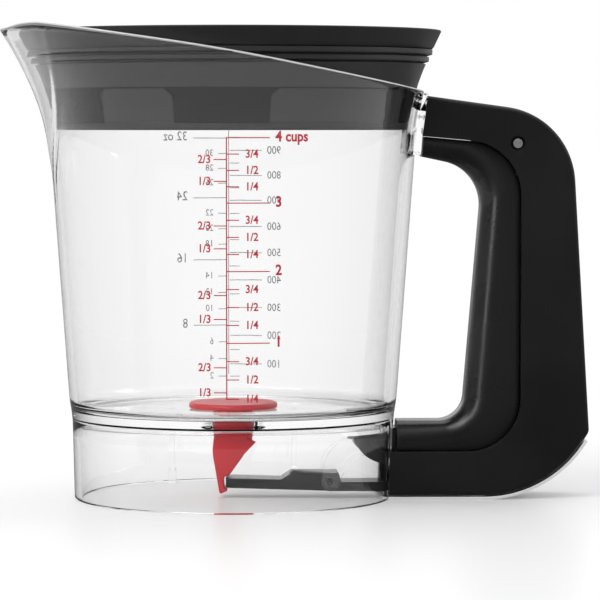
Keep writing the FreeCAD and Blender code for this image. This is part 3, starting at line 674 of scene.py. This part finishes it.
def make_strainer_bowl():
    """Bowl from the skirt's edge up the outside, down the inside to the screen's ledge and under it."""
    low_edge = SKIRT_LOW + 0.4
    outer = [(strainer_radius(SKIRT_LOW) - 0.5, SKIRT_LOW), (strainer_radius(low_edge), low_edge)]
    outer += [(strainer_radius(z), z) for z in np.arange(SKIRT_LOW + 1, 148.9, 0.5)]
    for low, high in GROOVES:
        outer += [(strainer_radius(low), low), (strainer_radius(low) - GROOVE_DEPTH, low + 0.12)]
        outer += [(strainer_radius(low) - 0.75, low + 0.3), (strainer_radius(high) - 0.08, low + 0.9)]
        outer += [(strainer_radius(high), high - 0.6)]
    last = GROOVES[-1][1]
    outer += [(strainer_radius(last), last), (strainer_radius(BOWL_TOP) - 0.7, BOWL_TOP)]
    inner = [(strainer_radius(z) - STRAINER_WALL, z) for z in (BOWL_TOP, 152, 149, 146)]
    inner += rounded([(62.6, 145.4), (60.5, 144.2, 3), (52.0, 142.2), (80, 180)])[:-2][1:]
    inner += [(52.0, 142.2), (52.0, 140.2), (50.0, 140.2), (50.0, 138.6), (57.6, 138.6), (58.4, 137.8)]
    inner += [(strainer_radius(SKIRT_LOW) - 2.6, SKIRT_LOW)]
    mesh = finish_mesh(lathe(outer + inner, 720, panel_depth), "bowl")
    bowl = new_piece("strainer_bowl_shell", mesh, STRAINER_BLACK)
    # The pads between the recessed panels take the darker copy: painted shade.
    mesh.materials.append(PAD_SHADE_BLACK)
    for face in mesh.polygons:
        x, y, z = face.center / MM
        outside = strainer_radius(z)
        drawn_in = panel_depth(math.atan2(y, x) % FULL_TURN, outside, z)
        on_face = math.hypot(x, y) > outside - PANEL_DEPTH - 0.3
        if z < PANEL_TOP - 0.2 and on_face and drawn_in < PANEL_DEPTH / 2:
            face.material_index = 1
    place_piece(bowl, "strainer", "strainer_black", "strainer_bowl")


def make_strainer_band_and_seal():
    band = [(strainer_radius(BOWL_TOP) - 0.5, BOWL_TOP), (strainer_radius(BOWL_TOP), BOWL_TOP + 0.35)]
    band += [(strainer_radius(z), z) for z in np.linspace(155, 159.6, 6)]
    below = BAND_TOP - 0.2
    band += [(strainer_radius(160.1), 160.2), (strainer_radius(below) - 0.35, 160.52)]
    band += [(strainer_radius(BAND_TOP) - 0.8, BAND_TOP), (strainer_radius(BAND_TOP) - 1.5, BAND_TOP)]
    band += [(strainer_radius(below) - 1.95, below), (strainer_radius(BOWL_TOP) - STRAINER_WALL, BOWL_TOP)]
    rim = new_piece("strainer_rim_band", finish_mesh(lathe(band, 256), "rim_band"), RIM_RUBBER)
    place_piece(rim, "strainer", "soft_black", "strainer_rim_grip")

    ring = rounded([
        (57.4, 126.7, 0.3), (59.8, 126.7, 0.5), (60.4, 127.7, 0.3), (60.4, SKIRT_LOW), (57.4, SKIRT_LOW),
    ])
    seal = new_piece("strainer_seal_ring", finish_mesh(lathe(ring, 256), "seal_ring"), RIM_RUBBER)
    place_piece(seal, "strainer", "soft_black", "strainer_seal")


def make_screen():
    screen = dressed_copy("strainer_screen", STRAINER_BLACK)
    place_piece(screen, "strainer", "strainer_black", "strainer_screen")


# The handle's form, in millimetres
HANDLE_HALF = 13.0
KEEL_HALF = 10.7
WINDOW_HALF = 8.0
SOLE_EDGE = [(123.03, 22.62), (108.9, 0, 41.1), (52.5, 0)]


def make_handle_frame():
    """The clear frame: block at the wall and strip from the CAD copy, sole and keel drawn smooth."""
    block = dressed_copy("handle_frame", CLEAR, shrink=0.00003, flat=True)
    low_part = [(51, -2), (130, -2), (130, 22), (115, 22), (104, 8), (51, 8)]
    cut_or_join(block, cutter(prism(low_part, -14, 14)), "DIFFERENCE")
    flange = rounded(SOLE_EDGE + [(52.5, 1.0), (108.3, 1.0, 40.1), (122.0, 22.9)], steps=48)
    keel = rounded(SOLE_EDGE + [(52.5, 2.8), (107.35, 2.8, 38.3), (120.66, 24.1)], steps=48)
    sole = cutter(prism(flange, -HANDLE_HALF, HANDLE_HALF))
    cut_or_join(sole, cutter(prism(keel, -KEEL_HALF, KEEL_HALF)), "UNION")
    window = [(50, -1), (80, -1), (80, 3.8), (50, 3.8)]
    cut_or_join(sole, cutter(prism(window, -WINDOW_HALF, WINDOW_HALF)), "DIFFERENCE")
    heel = [(100, 20), (140, 20), (140, 40), (100, 40)]
    cut_or_join(sole, cutter(prism(heel, -20, 20)), "DIFFERENCE")
    cut_or_join(block, sole, "UNION")
    block.data.shade_smooth()
    block.data.set_sharp_from_angle(angle=math.radians(30))
    # The sole's sides get the whiter copy: a painted highlight line.
    block.data.materials.append(EDGE_HIGHLIGHT_CLEAR)
    for face in block.data.polygons:
        if face.center.z / MM < 23 and abs(face.center.y) / MM > HANDLE_HALF - 0.1:
            face.material_index = 1
    block.name = "handle_frame_clear"
    place_piece(block, "jug", "clear_plastic", "handle_frame")


def make_trigger_grip():
    """Soft grip of the trigger: broad flat sides that roll over to the hand side."""
    inner = rounded([(64.6, 117.36), (86.1, 112.8, 15), (78.8, 26.6, 9), (56.2, 26.6)], steps=24)
    outer = rounded([(65.1, 124.3), (98.3, 121.3, 18.9), (98.3, 16.5, 17.9), (56.2, 16.5)], steps=24)
    half, round_y = 10.45, 6.0
    rings = []
    for near, far in zip(inner, outer):
        near, far = Vector(near), Vector(far)
        length = (far - near).length
        round_x = min(8.5, length - 1.5)
        side = []
        for step in range(15):
            turn = math.pi / 2 * step / 14
            side.append((round_x * (1 - math.cos(turn)), half - round_y + round_y * math.sin(turn)))
        side += [(length - 0.5, half), (length - 0.15, half - 0.15), (length, half - 0.5)]
        loop = side + [(depth, -y) for depth, y in side[::-1]]
        ring = []
        for depth, y in loop:
            point = near + (far - near) * (depth / length)
            ring.append((point[0], y, point[1]))
        rings.append(ring)
    mesh = finish_mesh(skin_over(rings, joined=False), "trigger_grip_soft", 40)
    grip = new_piece("trigger_grip_soft", mesh, TRIGGER_BLACK)
    place_piece(grip, "trigger", "trigger_black", "trigger_grip")
    return grip


def make_stopper():
    """Red silicone stopper, its edges softened as moulded rubber has them."""
    stopper = dressed_copy("stopper", SILICONE)
    skin = stopper.modifiers.new("even_skin", "REMESH")
    skin.mode = "VOXEL"
    skin.voxel_size = 0.00035
    soften = stopper.modifiers.new("soften", "SMOOTH")
    soften.factor = 0.5
    soften.iterations = 6
    apply_modifiers(stopper)
    stopper.data.shade_smooth()
    place_piece(stopper, "stopper", "red_silicone", "stopper")


def make_works():
    """Shells, trigger core and rocker from their solids; pin, axle and spring keep theirs, in steel."""
    for node, paint, body, slot in (
        ("handle_shell_front", SHELL_BLACK, "jug", "handle_black"),
        ("handle_shell_back", SHELL_BLACK, "jug", "handle_black"),
        ("trigger_core", TRIGGER_BLACK, "trigger", "trigger_black"),
        ("rocker_arm", TRIGGER_BLACK, "rocker", "trigger_black"),
    ):
        shell = paint is SHELL_BLACK
        shrink = 0.00006 if shell or node == "trigger_core" else 0.0
        place_piece(dressed_copy(node, paint, shrink=shrink, flat=shell), body, slot, node)
    for node in ("pivot_pin", "rocker_axle", "return_spring"):
        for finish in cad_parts[node].material_slots:
            finish.material = STEEL


# Height of the marks on the cup scale, in millimetres
CUP_HEIGHTS = ((0.25, 38.4), (0.5, 44.8), (1.0, 56.9), (2.0, 80.5), (3.0, 102.9), (4.0, 124.2))
LAST_CUP_RISE = 21.3
ML_IN_CUP = 236.6


def cup_height(cups):
    return float(np.interp(cups, [c for c, _ in CUP_HEIGHTS], [z for _, z in CUP_HEIGHTS]))


class Print:
    """Flat print in millimetres, along the wall and up it, gathered before it goes on the wall."""

    def __init__(self):
        self.grown = bmesh.new()

    def bar(self, left, right, low, high):
        count = max(int(abs(right - left) / 2), 1)
        xs = np.linspace(left, right, count + 1)
        for a, b in zip(xs[:-1], xs[1:]):
            box = bmesh.ops.create_cube(self.grown, size=1.0)["verts"]
            bmesh.ops.scale(self.grown, vec=(b - a, high - low, 0.03), verts=box)
            bmesh.ops.translate(self.grown, vec=((a + b) / 2, (low + high) / 2, 0), verts=box)

    def words(self, text, x, y, height, align="LEFT", weight=0.02):
        curve = bpy.data.curves.new("words", "FONT")
        curve.body = text
        curve.align_x = align
        curve.align_y = "CENTER"
        curve.offset = weight
        curve.extrude = 0.01
        curve.resolution_u = 3
        thing = bpy.data.objects.new("words", curve)
        scene.collection.objects.link(thing)
        graph = bpy.context.evaluated_depsgraph_get()
        mesh = bpy.data.meshes.new_from_object(thing.evaluated_get(graph))
        size = height / 0.73
        mesh.transform(Matrix.Translation((x, y, 0)) @ Matrix.Diagonal((size * 0.9, size, 1.5, 1)))
        self.grown.from_mesh(mesh)
        bpy.data.objects.remove(thing)
        bpy.data.meshes.remove(mesh)

    def on_wall(self, name, paint, back):
        for vert in self.grown.verts:
            across, height, lift = vert.co
            radius = wall_radius(OUTSIDE, height)
            angle = across / radius
            r = radius + 0.04 + lift
            side = -1.0 if back else 1.0
            vert.co = (side * r * math.sin(angle), -side * r * math.cos(angle), height)
        mesh = finish_mesh(self.grown, name)
        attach(new_piece(name, mesh, paint), "jug")


def make_cup_scale():
    """Red scale on the front of the jug, in cups, quarters and thirds."""
    front = Print()
    spine, half_tick = -2.1, 0.17
    front.bar(spine - 0.2, spine + 0.2, 38.2, 124.4)
    for whole in range(4):
        for part, label in ((0.25, "1/4"), (0.5, "1/2"), (0.75, "3/4")):
            z = cup_height(whole + part)
            front.bar(spine, 2.0, z - half_tick, z + half_tick)
            front.words(label, 4.0, z, 2.75)
        for part, label in ((1 / 3, "1/3"), (2 / 3, "2/3")):
            z = cup_height(whole + part)
            front.bar(-6.3, spine, z - half_tick, z + half_tick)
            front.words(label, -7.2, z, 2.75, align="RIGHT")
        z = cup_height(whole + 1)
        front.bar(spine, 12.1, z - half_tick, z + half_tick)
        text = "4 cups" if whole == 3 else str(whole + 1)
        front.words(text, 14.0, z + 0.3, 3.5, weight=0.03)
    front.on_wall("cup_scale", RED_PRINT, False)


def make_back_scale():
    """Grey scale on the back, ounces on one side of its line and millilitres on the other."""
    back = Print()
    spine, half_tick, lower = 1.6, 0.12, 1.2
    back.bar(spine - half_tick, spine + half_tick, 38.0, 130.0)
    for ounces in range(2, 33, 2):
        z = cup_height(ounces / 8) - lower
        if ounces % 8:
            back.bar(spine + 1.0, spine + 3.9, z - half_tick, z + half_tick)
            back.words(str(ounces), spine + 5.6, z + 0.2, 2.5, weight=0.0)
        else:
            back.bar(spine + 1.0, spine + 13.3, z - half_tick, z + half_tick)
            text = "32 oz" if ounces == 32 else str(ounces)
            back.words(text, spine + 15.4, z + 0.6, 3.5, weight=0.0)
    for millilitres in range(50, 1001, 50):
        cups = millilitres / ML_IN_CUP
        z = cup_height(cups) - lower + max(cups - 4, 0.0) * LAST_CUP_RISE
        if millilitres % 100:
            back.bar(-spine - 0.8, spine - 0.4, z - half_tick, z + half_tick)
        else:
            back.bar(-10.8, spine - 0.4, z - half_tick, z + half_tick)
            text = "1000 ml" if millilitres == 1000 else str(millilitres)
            back.words(text, -12.8, z, 2.9, align="RIGHT", weight=0.0)
    back.on_wall("ounce_and_millilitre_scale", GREY_PRINT, True)


make_camera()
make_world()
make_floor()
make_softbox("key", (-0.5, -0.6, 1.0), MIDDLE, 0.8, 0.8, 8.0)
make_softbox("top", (0.15, 0.35, 1.1), MIDDLE, 1.0, 0.8, 4.0)
strip = make_softbox("left_strip", (-0.62, -1.0, 0.45), HANDLE_MIDDLE, 0.1, 1.0, 3.5)
make_softbox("side", (1.0, 0.15, 0.5), HANDLE_MIDDLE, 0.4, 0.6, 2.0)
make_jug()
make_strainer_bowl()
make_strainer_band_and_seal()
make_screen()
make_handle_frame()
# This lamp draws the highlight on the grip alone; in the jug it would wash out the scale.
grip = make_trigger_grip()
only_grip = bpy.data.collections.new("lit_by_left_strip")
only_grip.objects.link(grip)
strip.light_linking.receiver_collection = only_grip
make_works()
make_stopper()
make_cup_scale()
make_back_scale()
